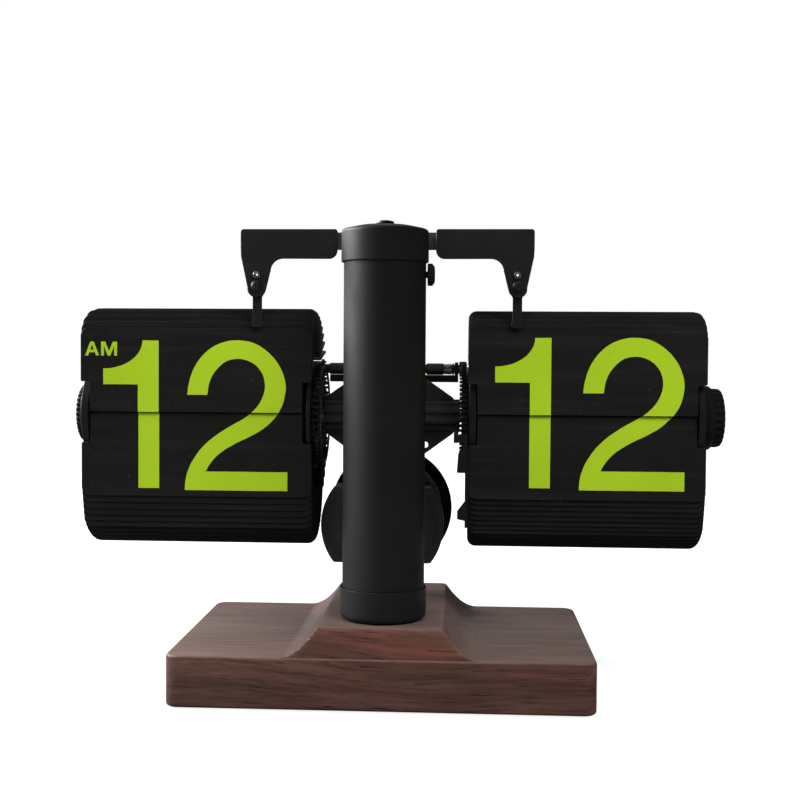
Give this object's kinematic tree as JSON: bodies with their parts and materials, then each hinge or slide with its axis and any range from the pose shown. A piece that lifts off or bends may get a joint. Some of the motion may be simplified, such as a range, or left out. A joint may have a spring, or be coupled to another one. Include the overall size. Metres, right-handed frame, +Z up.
{
  "type": "flip number clock",
  "caption": "Desk flip clock: two cantilevered drums of numbered flaps on a frame behind a slim battery post, spring fingers on flat arms, and a wooden base with a raised ridge.",
  "frame": {"origin": "centre of the resting face under the base", "axes": "+X to the right along the drum axis (towards the minute drum), +Y to the back, +Z up"},
  "size_m": [0.2055, 0.08, 0.1435],
  "materials": {
    "wood": "satin dark-stained hardwood, horizontal grain",
    "felt": "thin self-adhesive felt",
    "black_metal": "satin black powder coat",
    "black_plastic": "moulded black, fine texture",
    "flap_sheet": "matte black printed sheet",
    "steel": "turned bright steel",
    "dark_steel": "blackened steel",
    "brass": "machined brass",
    "cell_wrap": "plain shrink wrap",
    "copper": "enamelled copper winding",
    "fibre": "insulating liner"
  },
  "bodies": {
    "stand": {"base_block": "wood", "base_pad": "felt", "post_screw": "dark_steel", "post_tube": "black_metal", "bottom_collar": "black_metal", "contact_spring": "steel", "battery_sleeve": "fibre", "battery_cell": "cell_wrap", "arm_crossbar": "black_metal", "crossbar_screw": "dark_steel", "arm_left": "black_metal", "arm_right": "black_metal", "arm_rivet_left": "dark_steel", "arm_rivet_right": "dark_steel", "finger_screw_left": "black_metal", "finger_screw_right": "black_metal", "adjuster_eyelet_left": "steel", "adjuster_eyelet_right": "steel", "axle_frame": "black_metal", "movement_screw": "dark_steel", "frame_screw_upper": "dark_steel", "frame_screw_lower": "dark_steel", "gear_plate_left": "black_metal", "gear_plate_right": "black_metal", "plate_pillar": "steel", "movement_housing": "black_plastic", "movement_cover": "black_plastic", "movement_ring": "black_metal", "ring_screw": "dark_steel", "motor_coil": "copper", "minute_lower_flap": "flap_sheet", "minute_fan_flaps": "flap_sheet", "minute_hanging_flaps": "flap_sheet", "hour_lower_flap": "flap_sheet", "hour_fan_flaps": "flap_sheet", "hour_hanging_flaps": "flap_sheet"},
    "cap": {"battery_cap": "black_metal", "cap_contact_stud": "brass"},
    "side_screw": {"side_thumbscrew": "black_plastic"},
    "finger_left_body": {"finger_left": "dark_steel"},
    "finger_right_body": {"finger_right": "dark_steel"},
    "minute_drum": {"minute_disc_inner": "black_plastic", "minute_disc_outer": "black_plastic", "minute_spool": "black_plastic", "minute_gear": "black_plastic", "minute_axle": "steel", "minute_knob": "black_plastic"},
    "hour_drum": {"hour_disc_inner": "black_plastic", "hour_disc_outer": "black_plastic", "hour_spool": "black_plastic", "hour_gear": "black_plastic", "hour_axle": "steel", "hour_knob": "black_plastic"},
    "transfer_right": {"transfer_shaft_right": "dark_steel"},
    "idler": {"idler_gear": "brass"},
    "transfer_left": {"transfer_shaft_left": "dark_steel", "reduction_gear": "brass"},
    "rotor": {"motor_rotor": "steel"},
    "minute_flap": {"minute_upper_flap": "flap_sheet"},
    "hour_flap": {"hour_upper_flap": "flap_sheet"}
  },
  "joints": [
    {"name": "minute_drum_spin", "type": "hinge", "parent": "stand", "child": "minute_drum", "pos_m": [0.0616, 0.005, 0.084], "axis": [1, 0, 0], "continuous": true},
    {"name": "hour_drum_spin", "type": "hinge", "parent": "stand", "child": "hour_drum", "pos_m": [-0.0596, 0.005, 0.084], "axis": [1, 0, 0], "continuous": true},
    {"name": "transfer_right_spin", "type": "hinge", "parent": "stand", "child": "transfer_right", "pos_m": [0.013, 0.016, 0.0989], "axis": [1, 0, 0], "continuous": true},
    {"name": "idler_spin", "type": "hinge", "parent": "stand", "child": "idler", "pos_m": [0, 0.022, 0.10929], "axis": [1, 0, 0], "continuous": true},
    {"name": "transfer_left_spin", "type": "hinge", "parent": "stand", "child": "transfer_left", "pos_m": [-0.012, 0.016, 0.0989], "axis": [1, 0, 0], "continuous": true},
    {"name": "motor_rotor_spin", "type": "hinge", "parent": "stand", "child": "rotor", "pos_m": [-0.0023, 0.012, 0.04805], "axis": [0, 1, 0], "continuous": true},
    {"name": "minute_flap_fall", "type": "hinge", "parent": "stand", "child": "minute_flap", "pos_m": [0.0616, -0.01139, 0.08586], "axis": [1, 0, 0], "range_deg": [0, 177]},
    {"name": "hour_flap_fall", "type": "hinge", "parent": "stand", "child": "hour_flap", "pos_m": [-0.0596, -0.01137, 0.08608], "axis": [1, 0, 0], "range_deg": [0, 177]},
    {"name": "battery_cap_lift", "type": "slide", "parent": "stand", "child": "cap", "axis": [0, 0, 1], "range_m": [0, 0.03]},
    {"name": "side_thumbscrew_turn", "type": "hinge", "parent": "stand", "child": "side_screw", "pos_m": [0.0135, -0.021, 0.1273], "axis": [1, 0, 0], "continuous": true},
    {"name": "finger_left_adjust", "type": "hinge", "parent": "stand", "child": "finger_left_body", "pos_m": [-0.04, -0.0126, 0.1243], "axis": [0, 1, 0], "range_deg": [-6, 6]},
    {"name": "finger_right_adjust", "type": "hinge", "parent": "stand", "child": "finger_right_body", "pos_m": [0.04, -0.0126, 0.1243], "axis": [0, 1, 0], "range_deg": [-6, 6]}
  ],
  "couplings": [
    {"joint": "hour_drum_spin", "follows": "minute_drum_spin", "ratio": 0.041667},
    {"joint": "transfer_right_spin", "follows": "minute_drum_spin", "ratio": -7.5},
    {"joint": "idler_spin", "follows": "minute_drum_spin", "ratio": 1.25},
    {"joint": "transfer_left_spin", "follows": "minute_drum_spin", "ratio": -0.25},
    {"joint": "motor_rotor_spin", "follows": "minute_drum_spin", "ratio": 4}
  ]
}
